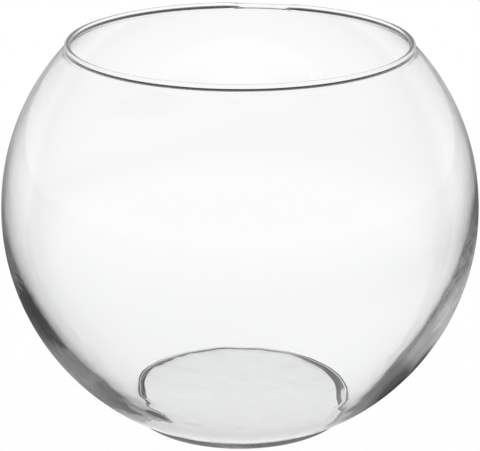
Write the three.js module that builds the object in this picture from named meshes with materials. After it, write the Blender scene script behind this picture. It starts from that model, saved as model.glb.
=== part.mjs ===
// A clear glass ball vase: a blown ball with a fire-polished rim, a thick heel and a low foot ring.
// Millimetres, +Z up, with the origin on the table under the middle of the foot.
// The real vase is one piece of glass. Here it is divided at level seams into its named zones.
import * as THREE from 'three';

// The outside of the ball.
const ballDiameter = 250;
const rimSeatDiameter = 178.6; // outside of the wall just under the rim bead
const footDiameter = 118;
const footHeight = 2.1;
const footRingWidth = 4.5; // the vase stands on this ring, and the base is hollow inside it

// The thickness of the glass, square to the surface.
const shoulderWall = 1.6;
const heelWall = 4.8;
const baseThickness = 2.1;
const floorCornerRadius = 24; // inside, where the flat floor turns up into the wall
const beadSwell = 0.52; // how far the bead's radius exceeds half of the wall that it closes

// Seams between the zones, measured from the widest level of the ball.
const heelDrop = 62; // down to the heel's top
const bellyRise = 13; // up to the belly's top, where the wall has thinned to the shoulder's

// How finely round stretches are divided.
const facetsRound = 64;
const stepsBase = 2;
const stepsCorner = 5;
const stepsHeel = 4;
const stepsBelly = 3;
const stepsShoulder = 3;
const stepsBead = 9;

// Levels and radii that follow from the sizes above.
const ballRadius = ballDiameter / 2;
const footRadius = footDiameter / 2;
const rimSeatRadius = rimSeatDiameter / 2;
const widestLevel = footHeight + Math.sqrt(ballRadius ** 2 - footRadius ** 2);
const rimSeatLevel = widestLevel + Math.sqrt(ballRadius ** 2 - rimSeatRadius ** 2);
const heelTop = widestLevel - heelDrop;
const bellyTop = widestLevel + bellyRise;
const bellyMiddle = (heelTop + bellyTop) / 2;
const shoulderMiddle = (bellyTop + rimSeatLevel) / 2;
const floorLevel = footHeight + baseThickness;

// The floor's corner is an arc that touches the flat floor and the inside of the heel.
const heelInnerRadius = ballRadius - heelWall;
const cornerLevel = floorLevel + floorCornerRadius;
const cornerReach = heelInnerRadius - floorCornerRadius;
const cornerCentre = Math.sqrt(cornerReach ** 2 - (widestLevel - cornerLevel) ** 2);
const cornerEnd = Math.asin((cornerLevel - widestLevel) / cornerReach);
const baseTop = widestLevel + heelInnerRadius * Math.sin(cornerEnd);

// Radius of the ball's outside at a level.
function outsideAt(level) {
  return Math.sqrt(ballRadius ** 2 - (level - widestLevel) ** 2);
}

// Wall thickness at a level: thick at the base's top, thin from the belly's top, eased between.
function wallAt(level) {
  const share = THREE.MathUtils.smoothstep(level, baseTop, bellyTop);
  return THREE.MathUtils.lerp(heelWall, shoulderWall, share);
}

// Radius of the hollow at a level.
function insideAt(level) {
  return Math.sqrt((ballRadius - wallAt(level)) ** 2 - (level - widestLevel) ** 2);
}

// Levels from low to high that lie evenly along the ball's curve.
function levelsBetween(low, high, steps) {
  const from = Math.asin((low - widestLevel) / ballRadius);
  const to = Math.asin((high - widestLevel) / ballRadius);
  const levels = [];
  for (let i = 0; i <= steps; i += 1) {
    levels.push(widestLevel + ballRadius * Math.sin(THREE.MathUtils.lerp(from, to, i / steps)));
  }
  levels[0] = low;
  levels[steps] = high;
  return levels;
}

// Points of an arc about a centre, from one angle to another.
function arcPoints(centreRadius, centreLevel, radius, from, to, steps) {
  const points = [];
  for (let i = 0; i <= steps; i += 1) {
    const angle = THREE.MathUtils.lerp(from, to, i / steps);
    const reach = centreRadius + radius * Math.cos(angle);
    points.push(new THREE.Vector2(reach, centreLevel + radius * Math.sin(angle)));
  }
  return points;
}

// The outside of the ball up through some levels, as outline points.
function outsidePoints(levels) {
  return levels.map((level) => new THREE.Vector2(outsideAt(level), level));
}

// The inside of the wall down through the same levels, as outline points.
function insidePoints(levels) {
  return levels.toReversed().map((level) => new THREE.Vector2(insideAt(level), level));
}

// A node turned about the upright axis. An outline runs up the outside and down the inside.
function turnedGlass(name, outline) {
  const geometry = new THREE.LatheGeometry(outline, facetsRound);
  geometry.rotateX(Math.PI / 2);
  const material = new THREE.MeshStandardMaterial({
    color: 0xf1f5f4,
    roughness: 0.03,
    metalness: 0,
    transparent: true,
    opacity: 0.35,
  });
  const mesh = new THREE.Mesh(geometry, material);
  mesh.name = name;
  return mesh;
}

// The foot ring under the base's edge, which stands on the table.
function footRing() {
  const innerRadius = footRadius - footRingWidth;
  const outline = [
    new THREE.Vector2(innerRadius, 0),
    new THREE.Vector2(footRadius, 0),
    new THREE.Vector2(footRadius, footHeight),
    new THREE.Vector2(innerRadius, footHeight),
    new THREE.Vector2(innerRadius, 0),
  ];
  return turnedGlass('foot_ring', outline);
}

// The shallow dish of the base, flat below and inside, with a rounded corner up to the heel.
function base() {
  const corner = arcPoints(
    cornerCentre, cornerLevel, floorCornerRadius, cornerEnd, -Math.PI / 2, stepsCorner,
  );
  const outline = [
    new THREE.Vector2(0, footHeight),
    ...outsidePoints(levelsBetween(footHeight, baseTop, stepsBase)),
    ...corner,
    new THREE.Vector2(0, floorLevel),
  ];
  return turnedGlass('base', outline);
}

// A band of the wall between two level seams.
function wallBand(name, levels) {
  const outside = outsidePoints(levels);
  return turnedGlass(name, [...outside, ...insidePoints(levels), outside[0]]);
}

// The thick lower wall, which starts to thin on its way up.
function heel() {
  return wallBand('heel', levelsBetween(baseTop, heelTop, stepsHeel));
}

// The wall that thins most, below the widest level.
function lowerBelly() {
  return wallBand('lower_belly', levelsBetween(heelTop, bellyMiddle, stepsBelly));
}

// The wall round the widest level, which is one of its own levels.
function upperBelly() {
  const below = levelsBetween(bellyMiddle, widestLevel, stepsBelly - 1);
  return wallBand('upper_belly', [...below, bellyTop]);
}

// The thin upper wall, which turns in over the widest level.
function lowerShoulder() {
  return wallBand('lower_shoulder', levelsBetween(bellyTop, shoulderMiddle, stepsShoulder));
}

// The thin upper wall, drawn in to the mouth.
function upperShoulder() {
  return wallBand('upper_shoulder', levelsBetween(shoulderMiddle, rimSeatLevel, stepsShoulder));
}

// The fire-polished bead that closes the top of the wall: a round section, cut flat where it sits.
function rimBead() {
  const insideRadius = insideAt(rimSeatLevel);
  const halfSeat = (rimSeatRadius - insideRadius) / 2;
  const beadRadius = halfSeat + beadSwell;
  const beadRise = Math.sqrt(beadRadius ** 2 - halfSeat ** 2);
  const start = -Math.asin(beadRise / beadRadius);
  const section = arcPoints(
    rimSeatRadius - halfSeat, rimSeatLevel + beadRise, beadRadius, start, Math.PI - start, stepsBead,
  );
  return turnedGlass('rim_bead', [...section, section[0]]);
}

const vase = new THREE.Group();
vase.add(footRing());
vase.add(base());
vase.add(heel());
vase.add(lowerBelly());
vase.add(upperBelly());
vase.add(lowerShoulder());
vase.add(upperShoulder());
vase.add(rimBead());

export default vase;
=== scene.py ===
import math

import bpy
import numpy as np
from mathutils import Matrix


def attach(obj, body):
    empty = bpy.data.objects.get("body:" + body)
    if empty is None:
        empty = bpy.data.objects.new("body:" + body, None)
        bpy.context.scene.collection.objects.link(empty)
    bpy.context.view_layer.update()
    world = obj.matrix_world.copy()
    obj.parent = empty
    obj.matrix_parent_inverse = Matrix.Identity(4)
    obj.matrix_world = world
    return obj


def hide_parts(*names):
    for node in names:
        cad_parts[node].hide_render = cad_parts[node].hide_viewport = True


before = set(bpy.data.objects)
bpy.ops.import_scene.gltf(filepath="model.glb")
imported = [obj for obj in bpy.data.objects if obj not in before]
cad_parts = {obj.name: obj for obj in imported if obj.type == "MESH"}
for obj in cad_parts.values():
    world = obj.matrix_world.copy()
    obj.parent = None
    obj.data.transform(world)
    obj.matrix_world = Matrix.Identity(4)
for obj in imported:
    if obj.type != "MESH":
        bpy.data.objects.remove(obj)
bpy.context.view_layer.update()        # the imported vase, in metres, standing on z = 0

scene = bpy.context.scene


# sizes of the vase, read from its solids

reading = {
    "seamSlack": 1e-5,        # corners this near to a seam's level lie on it
    "axisSlack": 1e-4,        # corners this near to the axis lie on it
    "beadShare": 0.99,        # the bead stays a little inside its solid
}


def cornersOf(node):
    # every corner of a solid, as its distance from the axis and its level
    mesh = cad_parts[node].data
    points = np.empty(len(mesh.vertices) * 3, np.float32)
    mesh.vertices.foreach_get("co", points)
    x, y, z = points.reshape(-1, 3).astype(float).T
    return np.hypot(x, y), z


def wallAtTop(node, centre):
    # thickness of a wall band at its top seam, square to the ball
    reach, level = cornersOf(node)
    top = level > level.max() - reading["seamSlack"]
    fromCentre = np.hypot(reach[top], level[top] - centre)
    return fromCentre.max() - fromCentre.min()


def measureVase():
    size = {}
    reach, level = cornersOf("upper_belly")
    size["ball"] = reach.max()
    size["centre"] = level[reach.argmax()]        # level of the ball's centre
    reach, level = cornersOf("foot_ring")
    size["foot"] = reach.max()
    size["footHeight"] = level.max()
    reach, level = cornersOf("base")
    size["floor"] = level[reach < reading["axisSlack"]].max()     # top of the glass floor
    reach, level = cornersOf("rim_bead")
    size["rim"] = (reach.max() + reach.min()) / 2
    size["rimLevel"] = level.max() - reach.max() + size["rim"]
    size["bead"] = (reach.max() - size["rim"]) * reading["beadShare"]
    size["thinWall"] = wallAtTop("upper_shoulder", size["centre"])
    return size


size = measureVase()
print("vase measured:", {name: round(value * 1000, 2) for name, value in size.items()}, "mm")


# the glass: one closed skin, out along the underside, up the ball, over the rim and down inside

glass = {
    "roundSteps": 320,
    "underRows": 10,
    "slopeRows": 8,
    "outerRows": 96,
    "blendRows": 9,           # just under the bead
    "blendReach": 2.5,        # how far down these go, in half widths of the bead
    "beadRows": 26,
    "innerRows": 118,
    "cornerRows": 5,          # points on each rounded corner of the foot
    # the foot
    "footEdge": 0.0003,       # rounding of the foot's lower edge
    "footCrease": 0.0004,     # and of the corner where it meets the ball
    "footRun": 0.002,         # the foot's section ends this far up the ball
    "underRise": 0.0008,      # the underside is hollow by this
    "underSlack": 1e-6,       # what still counts as no higher than that
    "underBend": 0.0005,      # rounding where it starts to slope
    "underSlope": 0.0025,     # it slopes down to the foot's edge over this width
    "underBack": 0.68,        # or over this share of it at the back
    "backEase": (0.2, 1.0),   # sines of the angles round the axis where that begins and is whole
    "underSide": 0.5,         # and over this much more at the two sides, where it is
    "sideRise": 1.4,          # this much higher
    "sidePower": 4,           # how narrow the two sides are
    "underRight": 0.003,      # the slope lies this much further in at the right
    "contactEdge": (0.0003, 0.0008),   # from the foot's edge, where that shift begins and is whole
    # the rim
    "beadBlend": 0.00022,     # how softly the bead runs into the wall
    "beadFall": 2,            # how steeply its half width falls past its ends
    "pastRim": 4,             # how steeply the ball falls away over the bead
    "insidePast": 500,        # how fast the inside of the wall gives way behind the bead
    "neckFront": 0.00035,     # the wall is drawn in under the bead at the front, on both faces
    "neckBack": 0.00015,      # and at the back, on the outside
    "neckEase": (0.1, 0.6),   # sines of the angles between which it changes over
    "neckLength": 0.0022,     # width of its bell curve
    "thinBead": (72, 91, 5),  # degrees round the axis where the bead is thin, and how soft the ends are
    "thinShare": 0.42,        # of its thickness elsewhere
    "thinTaper": 1.6,         # how steeply it grows out of the wall there
    # the wall
    "heelFront": 0.0036,      # the wall at the heel, front and back
    "heelSide": 0.0062,       # and at its two sides
    "heelLean": 0.0009,       # thicker by this to the right, thinner to the left
    "rightPower": 7,          # the right side thickens later
    "frontThin": (0.0013, -54.0, 22.0),   # thinner by this, about so many degrees round, so wide
    "thickLevel": 0.015,      # the wall is thick below this level and thin above the next
    "thinLevel": 0.122,
    "thinLean": 0.012,        # it thins this much higher to the right, and lower to the left
    "heelFoot": (0.004, 0.026),   # below these levels the thickening falls to the share that follows
    "heelShare": 0.45,
    "floorBlend": 0.0015,     # how softly the floor runs into the wall
    "floorCosines": (0.2, 0.3),   # the least that the floor's drop is divided by, and where the floor ends
    # the ripples of the blown wall
    "rippleHeel": 0.00006,    # inside, low down
    "rippleShoulder": 0.000008,   # and high up
    "rippleTop": 0.055,       # level by which they have calmed down
    "rippleOutside": 0.000006,
    "outsideMix": (1.5, 0.5),     # the outside lies in by so many times that, and swings by so many
    "rippleLengths": (0.005, 0.032),
    "rippleCount": 46,
    "seed": 5,
    "outsideSeed": 3,
}


def ease(value, low, high):
    # 0 below low, 1 above high, and an S curve between
    share = np.clip((value - low) / (high - low), 0, 1)
    return share * share * (3 - 2 * share)


def softMost(a, b, blend):
    # the larger of two values, rounded over where they are close
    return blend * np.logaddexp(a / blend, b / blend)


def softLeast(a, b, blend):
    # the smaller of them, rounded over in the same way
    return -softMost(-a, -b, blend)


def ripples(points, seed):
    # a sum of plane waves of seeded direction, length and phase, cut through by the surface: seamless,
    # with longer waves higher in proportion, and about 1 high at its root mean square
    draw = np.random.default_rng(seed)
    shortest, longest = glass["rippleLengths"]
    way = draw.normal(size=(glass["rippleCount"], 3))
    way /= np.linalg.norm(way, axis=1, keepdims=True)
    length = np.exp(draw.uniform(math.log(shortest), math.log(longest), glass["rippleCount"]))
    phase = draw.uniform(0, 2 * math.pi, glass["rippleCount"])
    height = length / np.sqrt((length ** 2).sum() / 2)
    return np.cos(points @ (way * (2 * math.pi / length)[:, None]).T + phase) @ height


def turned(reach, level, around):
    # points at a distance from the axis, a level and an angle round the axis
    return np.stack(np.broadcast_arrays(reach * np.cos(around), reach * np.sin(around), level), -1)


def onBall(radius, angle, around):
    # points at a radius from the ball's centre, an angle up from straight down and one round the axis
    return turned(radius * np.sin(angle), size["centre"] - radius * np.cos(angle), around)


def roundedPath(corners, radii, rows):
    # a path through corners, each replaced by an arc of its radius that touches both sides
    path = [corners[:1]]
    for before, corner, after, radius in zip(corners, corners[1:], corners[2:], radii):
        back = (before - corner) / np.linalg.norm(before - corner)
        on = (after - corner) / np.linalg.norm(after - corner)
        half = math.acos(np.clip(back @ on, -1, 1)) / 2
        middle = (back + on) / np.linalg.norm(back + on)
        centre = corner + middle * radius / math.sin(half)
        start = corner + back * radius / math.tan(half) - centre
        end = corner + on * radius / math.tan(half) - centre
        turn = np.linspace(0, math.pi - 2 * half, rows)[:, None]
        across = end - start * math.cos(math.pi - 2 * half)
        across /= np.linalg.norm(across)
        path.append(centre + start * np.cos(turn) + across * radius * np.sin(turn))
    return np.concatenate(path)


def footSection():
    # the underside, its slope, the foot's rounded edge and its side up to the crease under the ball
    crease = math.asin(size["foot"] / size["ball"])
    run = glass["footRun"]
    corners = np.array([
        [0, glass["underRise"]],
        [size["foot"] - glass["underSlope"], glass["underRise"]],
        [size["foot"], 0],
        [size["foot"], size["footHeight"]],
        [size["foot"] + run * math.cos(crease), size["footHeight"] + run * math.sin(crease)],
    ])
    radii = [glass["underBend"], glass["footEdge"], glass["footCrease"]]
    path = roundedPath(corners, radii, glass["cornerRows"])
    under = np.linspace(path[0], path[1], glass["underRows"])
    bend = 1 + glass["cornerRows"]
    slope = np.linspace(path[bend - 1], path[bend], glass["slopeRows"])
    return np.concatenate([under[:-1], path[1:bend - 1], slope[:-1], path[bend:]])


def slopeRound(reach, level, around):
    # the underside's slope is narrower at the back, wider and higher at the sides and further in at the
    # right, and the flat middle is stretched to follow it
    side = np.cos(around) ** glass["sidePower"]
    atBack = ease(np.sin(around), *glass["backEase"])
    share = 1 - (1 - glass["underBack"]) * atBack + glass["underSide"] * side
    inset = glass["underRight"] * np.clip(np.cos(around), 0, 1) ** 2
    middle = size["foot"] - glass["underSlope"]
    flat = reach * (size["foot"] - glass["underSlope"] * share - inset) / middle
    slope = size["foot"] - (size["foot"] - reach) * share
    slope = slope - inset * ease(size["foot"] - reach, *glass["contactEdge"])
    higher = level * (1 + glass["sideRise"] * side * (reach / size["foot"]) ** 2)
    below = level < glass["underRise"] + glass["underSlack"]
    moved = np.where(below, np.where(reach < middle, flat, slope), reach)
    return moved, np.where(below, higher, level)


def rimPlace():
    # the bead's middle, as a radius from the ball's centre and an angle up from straight down
    below = size["centre"] - size["rimLevel"]
    return math.hypot(size["rim"], below), math.atan2(size["rim"], below)


def rimCurve(angle):
    # arc length from the bead's middle, the bead's half width there (steeply negative past its ends)
    # and the radius that its middle lies at
    radius, middle = rimPlace()
    along = radius * (angle - middle)
    half = np.sqrt(np.clip(size["bead"] ** 2 - along ** 2, 0, None))
    return along, half - glass["beadFall"] * np.clip(np.abs(along) - size["bead"], 0, None), radius


def neck(along, around, back):
    # how far the wall is drawn in under the bead: a bell curve about the bead's lower end, eased from
    # its height at the back to its height at the front
    bell = np.exp(-((along + size["bead"]) / glass["neckLength"]) ** 2)
    return bell * (back + (glass["neckFront"] - back) * ease(-np.sin(around), *glass["neckEase"]))


def thinStretch(around):
    # 1 where the bead is thin, 0 elsewhere, with an S curve at each end
    start, end, soft = glass["thinBead"]
    degrees = np.degrees(around)
    return ease(degrees, start - soft, start + soft) * (1 - ease(degrees, end - soft, end + soft))


def beadHalf(along, half, thin):
    # half the bead's thickness: round, or where it is thin a taper that grows out of the wall
    rising = size["bead"] + glass["thinTaper"] * along
    taper = glass["thinShare"] * np.where(along < 0, rising, half)
    return half + (taper - half) * thin


def outsideRadius(angle, around):
    # the ball's radius less its ripples and neck, or the bead's outer half where that stands prouder
    along, half, beadRadius = rimCurve(angle)
    thin = thinStretch(around)
    inset, swing = glass["outsideMix"]
    wave = inset + swing * ripples(onBall(size["ball"], angle, around), glass["outsideSeed"])
    ball = size["ball"] - glass["rippleOutside"] * wave
    ball = ball - neck(along, around, glass["neckBack"]) * (1 - thin)
    ball = np.where(along > 0, ball - glass["pastRim"] * along, ball)
    bead = beadRadius + beadHalf(along, half, thin)
    return softMost(np.minimum(ball, size["ball"]), bead, glass["beadBlend"])


def wallThickness(angle, around):
    # thick at the heel and thin at the shoulder, with an S curve between; thicker at the two sides,
    # leaning to the right, less a bell curve at the front right, and less again down at the foot
    level = size["centre"] - size["ball"] * np.cos(angle)
    toSide = np.cos(around)
    sideways = np.where(toSide > 0, np.abs(toSide) ** glass["rightPower"], toSide ** 2)
    extra = glass["heelSide"] - glass["heelFront"] + glass["heelLean"] * toSide
    heel = glass["heelFront"] + extra * sideways
    less, middle, width = glass["frontThin"]
    away = np.degrees(np.angle(np.exp(1j * (around - math.radians(middle)))))
    heel = heel - less * np.exp(-(away / width) ** 2)
    thinLevel = glass["thinLevel"] + glass["thinLean"] * toSide
    more = (heel - size["thinWall"]) * (1 - ease(level, glass["thickLevel"], thinLevel))
    kept = glass["heelShare"] + (1 - glass["heelShare"]) * ease(level, *glass["heelFoot"])
    return size["thinWall"] + more * kept


def insideRadius(angle, around):
    # the ball's radius less the wall and its ripples, cut by the level floor and by the bead's inner half
    level = size["centre"] - size["ball"] * np.cos(angle)
    along, half, beadRadius = rimCurve(angle)
    thin = thinStretch(around)
    wave = ripples(onBall(size["ball"], angle, around), glass["seed"])
    lowDown = 1 - ease(level, glass["thickLevel"], glass["rippleTop"])
    wave *= glass["rippleShoulder"] + (glass["rippleHeel"] - glass["rippleShoulder"]) * lowDown
    wall = size["ball"] - wallThickness(angle, around) + wave
    past = np.clip(along + size["bead"] * (1 - thin), 0, None)
    wall = wall + neck(along, around, 0) + glass["insidePast"] * past ** 2
    hollow = softLeast(wall, beadRadius - beadHalf(along, half, thin), glass["beadBlend"])
    least, edge = glass["floorCosines"]
    floor = (size["centre"] - size["floor"]) / np.maximum(np.cos(angle), least) + wave
    return np.where(np.cos(angle) > edge, softLeast(hollow, floor, glass["floorBlend"]), hollow)


def glassGrid():
    # rows of points along the section, the same number of points round the axis in each row
    around = np.linspace(0, 2 * math.pi, glass["roundSteps"], endpoint=False)[None, :]
    foot = footSection()
    footRows = turned(*slopeRound(foot[:, :1], foot[:, 1:], around), around)
    beadRadius, middle = rimPlace()
    halfBead = size["bead"] / beadRadius
    low = math.atan2(foot[-1, 0], size["centre"] - foot[-1, 1])
    beadTurn = np.linspace(-0.5 * math.pi, 0.5 * math.pi, glass["beadRows"])
    nearRim = middle + halfBead * np.sin(beadTurn)
    start = nearRim[0] - glass["blendReach"] * halfBead
    blend = np.linspace(start, nearRim[0], glass["blendRows"])[:-1]
    ball = np.linspace(low, start, glass["outerRows"] + 1)[1:-1]
    wall = np.linspace(start, 0, glass["innerRows"])[1:]
    up = np.concatenate([ball, blend, nearRim])[:, None]
    down = np.concatenate([nearRim[:-1][::-1], blend[::-1], wall])[:, None]
    outer = onBall(outsideRadius(up, around), up, around)
    inner = onBall(insideRadius(down, around), down, around)
    return np.concatenate([footRows, outer, inner])


def skinOf(name, grid):
    # a closed skin from a grid whose first and last rows are single points on the axis
    rows, steps = grid.shape[:2]
    points = np.concatenate([grid[1:-1].reshape(-1, 3), grid[:1, 0], grid[-1:, 0]])
    row, step = np.meshgrid(np.arange(rows - 3), np.arange(steps), indexing="ij")
    onward = (step + 1) % steps
    quads = np.stack([row * steps + step, row * steps + onward,
                      (row + 1) * steps + onward, (row + 1) * steps + step], -1).reshape(-1, 4)
    step = np.arange(steps)
    onward = (step + 1) % steps
    last = (rows - 3) * steps
    under = np.stack([np.full(steps, len(points) - 2), onward, step], -1)
    top = np.stack([np.full(steps, len(points) - 1), last + step, last + onward], -1)
    mesh = bpy.data.meshes.new(name)
    mesh.from_pydata(points.tolist(), [], quads.tolist() + under.tolist() + top.tolist())
    mesh.polygons.foreach_set("use_smooth", np.ones(len(mesh.polygons), bool))
    mesh.update()
    piece = bpy.data.objects.new(name, mesh)
    scene.collection.objects.link(piece)
    return piece


vase = skinOf("vase_glass", glassGrid())
print("glass made:", len(vase.data.polygons), "faces")


# materials

def fill(tree, socket, value):
    # a link into a socket, or its value
    if isinstance(value, bpy.types.NodeSocket):
        tree.links.new(value, socket)
    else:
        socket.default_value = value


def addNode(tree, kind, **settings):
    node = tree.nodes.new("ShaderNode" + kind)
    for name, value in settings.items():
        setattr(node, name, value)
    return node


def feed(tree, node, **inputs):
    # values or links for a node's inputs; an underscore in a name stands for a space
    for name, value in inputs.items():
        fill(tree, node.inputs[name.replace("_", " ")], value)
    return node


def operate(tree, kind, operation, values):
    # the outputs of a math node, with values or links for its inputs in order
    node = addNode(tree, kind, operation=operation)
    for socket, value in zip(node.inputs, values):
        fill(tree, socket, value)
    return node.outputs


def mathNode(tree, operation, *values):
    return operate(tree, "Math", operation, values)["Value"]


def vectorNode(tree, operation, *values):
    return operate(tree, "VectorMath", operation, values)


def mixColour(tree, share, first, second, **settings):
    node = addNode(tree, "Mix", data_type="RGBA", **settings)
    for name, value in zip(("Factor", "A", "B"), (share, first, second)):
        fill(tree, node.inputs[name], value)
    return node.outputs["Result"]


def toneCurve(tree, value, stops, low, high):
    # a grey tone by a value, straight between stops of (value, tone)
    spread = feed(tree, addNode(tree, "MapRange"), Value=value, From_Min=low, From_Max=high)
    ramp = addNode(tree, "ValToRGB")
    points = ramp.color_ramp.elements
    while len(points) < len(stops):
        points.new(0.5)
    for point, (place, tone) in zip(points, stops):
        point.position = (place - low) / (high - low)
        point.color = (tone, tone, tone, 1)
    tree.links.new(spread.outputs[0], ramp.inputs[0])
    return ramp.outputs[0]


clear = {
    "ior": 1.5,
    "mirrorTint": (0.6, 0.6, 0.6, 1),      # weaker reflection where the glass is seen squarely
    "tintLow": (0.985, 0.992, 0.990, 1),   # faint cloudiness in the melt
    "tintHigh": (1.0, 1.0, 1.0, 1),
    "cloudScale": 14.0,
    "cloudDetail": 3.0,
    "polishRough": (0.0, 0.006),           # fire polish, a little less even in places
    "polishSpan": (0.35, 0.75),            # of the noise, from even to least even
    "polishScale": 60.0,
    "polishDetail": 2.0,
}


def clearGlass():
    material = bpy.data.materials.new("clear_glass")
    material.use_nodes = True
    tree = material.node_tree
    shader = tree.nodes["Principled BSDF"]
    place = addNode(tree, "TexCoord").outputs["Object"]
    cloud = feed(tree, addNode(tree, "TexNoise"), Vector=place,
                 Scale=clear["cloudScale"], Detail=clear["cloudDetail"])
    tint = mixColour(tree, cloud.outputs["Fac"], clear["tintLow"], clear["tintHigh"])
    polish = feed(tree, addNode(tree, "TexNoise"), Vector=place,
                  Scale=clear["polishScale"], Detail=clear["polishDetail"])
    low, high = clear["polishSpan"]
    even, uneven = clear["polishRough"]
    rough = feed(tree, addNode(tree, "MapRange"), Value=polish.outputs["Fac"],
                 From_Min=low, From_Max=high, To_Min=even, To_Max=uneven)
    feed(tree, shader, Base_Color=tint, Roughness=rough.outputs[0], IOR=clear["ior"],
         Transmission_Weight=1.0, Specular_Tint=clear["mirrorTint"])
    return material


vase.data.materials.append(clearGlass())
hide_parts("rim_bead", "upper_shoulder", "lower_shoulder", "upper_belly", "lower_belly", "heel",
            "base", "foot_ring")
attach(vase, "root")
print("glass finished")


# the studio: a white sweep that the glass shows, with darker surroundings in its reflections

studio = {
    "daylight": 1.02,                       # even light on the floor
    "white": (1, 1, 1, 1),
    # the sky by its elevation: through both walls, through one wall alone, and in reflections
    "seenThrough": [(-90, 1.0), (2.5, 1.0), (6, 0.04), (90, 0.02)],
    "seenOnce": [(-90, 0.4), (0.5, 0.4), (2.5, 0.04), (90, 0.02)],
    "mirrored": [(-90, 0.9), (3, 0.9), (12, 0.8), (38, 0.75), (50, 0.65), (90, 0.55)],
    # light that has turned often in the glass: tones by its turns, and by the way it leaves, left to
    # right, upwards or nearly level, or by where it meets the floor
    "turns": [(0, 0.2), (13, 0.2), (19, 0.5), (64, 0.5), (110, 0.6), (200, 0.7)],
    "mostTurns": 200,
    "turnedUp": [(-1, 0.3), (-0.7, 0.24), (-0.22, 0.24), (-0.07, 0.2), (0.02, 0.3),
                 (0.08, 0.54), (0.4, 0.38), (0.6, 0.14), (0.75, 0.06), (1, 0.05)],
    "turnedLevel": [(-1, 0.66), (-0.6, 0.66), (-0.3, 0.45), (-0.1, 0.15), (0.1, 0.15),
                    (0.3, 0.3), (0.6, 0.42), (0.8, 0.46), (1, 0.52)],
    "turnedSplit": (0.15, 0.26),            # the way's upward part, from level to upwards
    "turnedFloor": ((0, 0, 0), [(0, 0.4), (0.17, 0.4), (0.27, 0.9), (2, 0.9)]),
    "screenWay": (0, 0.951, 0.309),         # a dark screen behind and above, only in reflections
    "screenEdge": (0.966, 0.990),           # cosines of its angles, from clear to dark
    "screenTone": (0.2, 0.2, 0.2, 1),
    # counts of what a ray has met, halfway between whole numbers
    "once": 0.5,
    "twice": 1.5,
    "bothWalls": 2.5,
    "oneWall": (1.5, 0.75),                 # one or two faces of the glass, as a middle and a reach
    "floorHalf": 6.0,
    "floorDrop": 0.0002,
    "floorColour": (0.98, 0.98, 0.98, 1),
    # painted light and shade on the floor, seen only in the glass's reflections: tones by distance from a
    # place
    "patchReach": 4,
    "glow": ((0.10, 0.03, 0), [(0, 0.55), (0.13, 0.55), (0.20, 0.4), (0.23, 0.22), (0.265, 0.12),
                               (0.315, 0.10), (0.38, 0.15), (0.44, 0.2), (0.52, 0.3), (0.565, 0.32),
                               (0.68, 0.38), (0.75, 0.48), (1.2, 0.6), (2, 0.6)]),
    "under": ((0, 0, 0), [(0, 0.95), (0.064, 0.95), (0.085, 0), (2, 0)]),
    "behind": ((0, 0.40, 0), [(0, 0.95), (0.19, 0.95), (0.26, 0), (2, 0)]),
    "far": ((0, 1.6, 0), [(0, 0.5), (0.35, 0.5), (0.6, 1), (2, 1)]),
    "beside": ((0.057, 0, 0), [(0, 0.05), (0.02, 0.05), (0.034, 1), (2, 1)]),   # and in mirror places
    "right": ((0.110, 0.028, 0), [(0, 0.05), (0.014, 0.05), (0.027, 1), (2, 1)]),
    "rightFront": ((0.096, -0.014, 0), [(0, 0.05), (0.022, 0.05), (0.034, 1), (2, 1)]),
    # and painted shade on the floor far off, where it is seen through one wall alone
    "beyond": ((0, 0, 0), [(0, 1), (1.25, 1), (1.6, 0.05), (2.6, 0.05), (2.9, 0.4), (4, 0.4)]),
    "bounces": 500,                         # light turns often in the wall before it leaves
}


def rayCounts(tree):
    # whether a ray has been mirrored, whether more than once, and the tone that its turns give it
    ray = addNode(tree, "LightPath").outputs
    bounced = mathNode(tree, "GREATER_THAN", ray["Glossy Depth"], studio["once"])
    again = mathNode(tree, "GREATER_THAN", ray["Glossy Depth"], studio["twice"])
    turns = toneCurve(tree, ray["Glossy Depth"], studio["turns"], 0, studio["mostTurns"])
    return ray, bounced, again, turns


def skyTone(tree, height, name):
    # a tone by elevation; the ramp runs over its sine
    stops = [(math.sin(math.radians(angle)), tone) for angle, tone in studio[name]]
    return toneCurve(tree, height, stops, -1, 1)


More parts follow.
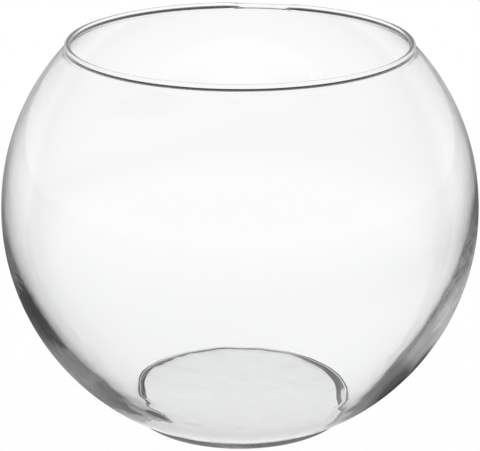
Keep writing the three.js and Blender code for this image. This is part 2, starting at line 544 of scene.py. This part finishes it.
def studioWorld():
    # white for what is seen straight; through both walls, white up to just above the horizon and dark from
    # there; through one wall, grey and then dark; darker than white for what the glass mirrors, and by its
    # turns and its way out for light that turns inside; even white for the light on the floor
    world = bpy.data.worlds.new("studio")
    world.use_nodes = True
    world.cycles.sampling_method = "NONE"
    tree = world.node_tree
    ray, bounced, again, turns = rayCounts(tree)
    way = addNode(tree, "TexCoord").outputs["Generated"]
    part = feed(tree, addNode(tree, "SeparateXYZ"), Vector=way).outputs
    oneWall = mathNode(tree, "LESS_THAN", ray["Transmission Depth"], studio["bothWalls"])
    through = mixColour(tree, oneWall, skyTone(tree, part["Z"], "seenThrough"),
                        skyTone(tree, part["Z"], "seenOnce"))
    through = mixColour(tree, ray["Is Camera Ray"], through, studio["white"])
    toScreen = vectorNode(tree, "DOT_PRODUCT", way, studio["screenWay"])["Value"]
    edge, middle = studio["screenEdge"]
    screen = feed(tree, addNode(tree, "MapRange", interpolation_type="SMOOTHSTEP"),
                  Value=toScreen, From_Min=edge, From_Max=middle)
    mirrored = mixColour(tree, screen.outputs[0], skyTone(tree, part["Z"], "mirrored"),
                         studio["screenTone"])
    low, high = studio["turnedSplit"]
    upward = feed(tree, addNode(tree, "MapRange"), Value=part["Z"], From_Min=low, From_Max=high)
    leaving = mixColour(tree, upward.outputs[0], toneCurve(tree, part["X"], studio["turnedLevel"], -1, 1),
                        toneCurve(tree, part["X"], studio["turnedUp"], -1, 1))
    mirrored = mixColour(tree, again, mirrored, mathNode(tree, "MULTIPLY", turns, leaving))
    shown = mixColour(tree, bounced, through, mirrored)
    lighting = mathNode(tree, "GREATER_THAN", ray["Diffuse Depth"], studio["once"])
    even = studio["daylight"]
    shown = mixColour(tree, lighting, shown, (even, even, even, 1))
    feed(tree, tree.nodes["Background"], Color=shown, Strength=1.0)
    scene.world = world


def floorPatch(tree, place, name):
    # a tone by the distance from a patch's middle
    middle, stops = studio[name]
    away = vectorNode(tree, "DISTANCE", place, middle)["Value"]
    return toneCurve(tree, away, stops, 0, studio["patchReach"])


def studioFloor():
    # a flat pale floor, with painted shade far off where it is seen through one wall; in the glass's
    # reflections it glows with painted light and shade instead of its lit colour, by the brightest of
    # three patches times four darker ones
    half, drop = studio["floorHalf"], -studio["floorDrop"]
    mesh = bpy.data.meshes.new("floor")
    corners = [(-half, -half, drop), (half, -half, drop), (half, half, drop), (-half, half, drop)]
    mesh.from_pydata(corners, [], [(0, 1, 2, 3)])
    floor = bpy.data.objects.new("floor", mesh)
    scene.collection.objects.link(floor)
    material = bpy.data.materials.new("pale_floor")
    material.use_nodes = True
    tree = material.node_tree
    tree.nodes.remove(tree.nodes["Principled BSDF"])
    ray, bounced, again, turns = rayCounts(tree)
    place = addNode(tree, "TexCoord").outputs["Object"]
    direct = mathNode(tree, "LESS_THAN", ray["Diffuse Depth"], studio["once"])
    oneWall = mathNode(tree, "COMPARE", ray["Transmission Depth"], *studio["oneWall"])
    # painted shade: the floor's colour darkens far off only where it is seen through one wall
    pale = mixColour(tree, mathNode(tree, "MULTIPLY", oneWall, direct), studio["floorColour"],
                     floorPatch(tree, place, "beyond"), blend_type="MULTIPLY")
    matt = feed(tree, addNode(tree, "BsdfDiffuse"), Color=pale)
    # painted reflections: the tones that the floor emits where the glass mirrors it
    tone = floorPatch(tree, place, "glow")
    for name in ("under", "behind"):
        tone = mathNode(tree, "MAXIMUM", tone, floorPatch(tree, place, name))
    for name in ("far", "right", "rightFront"):
        tone = mathNode(tree, "MULTIPLY", tone, floorPatch(tree, place, name))
    eitherSide = vectorNode(tree, "ABSOLUTE", place)["Vector"]
    tone = mathNode(tree, "MULTIPLY", tone, floorPatch(tree, eitherSide, "beside"))
    leaving = mathNode(tree, "MULTIPLY", turns, floorPatch(tree, place, "turnedFloor"))
    # the floor glows with this painted light and shade only where the glass mirrors it, and is matt
    # elsewhere
    glow = feed(tree, addNode(tree, "Emission"), Color=mixColour(tree, again, tone, leaving))
    both = addNode(tree, "MixShader")
    shaders = (mathNode(tree, "MULTIPLY", bounced, direct), matt.outputs[0], glow.outputs[0])
    for socket, value in zip(both.inputs, shaders):
        tree.links.new(value, socket)
    tree.links.new(both.outputs[0], tree.nodes["Material Output"].inputs["Surface"])
    mesh.materials.append(material)


studioWorld()
studioFloor()
print("studio set")


# the camera, at the photograph's angle

camera = {
    "away": 1.0,            # from the ball's centre
    "elevation": 18.66,
    "pitch": 19.22,
    "lens": 142.3,
    "clipEnd": 100,
}


def placeCamera():
    data = bpy.data.cameras.new("camera")
    data.lens = camera["lens"]
    data.sensor_fit = "HORIZONTAL"
    data.clip_end = camera["clipEnd"]
    view = bpy.data.objects.new("camera", data)
    scene.collection.objects.link(view)
    rise = math.radians(camera["elevation"])
    back, up = camera["away"] * math.cos(rise), camera["away"] * math.sin(rise)
    view.location = (0, -back, size["centre"] + up)
    view.rotation_euler = (math.radians(90 - camera["pitch"]), 0, 0)
    scene.camera = view


placeCamera()
scene.view_settings.view_transform = "Standard"
scene.cycles.max_bounces = studio["bounces"]
scene.cycles.transmission_bounces = studio["bounces"]
scene.cycles.glossy_bounces = studio["bounces"]
scene.cycles.blur_glossy = 0                 # or light that reaches the floor through glass is lost
scene.cycles.use_denoising = True
print("camera placed")
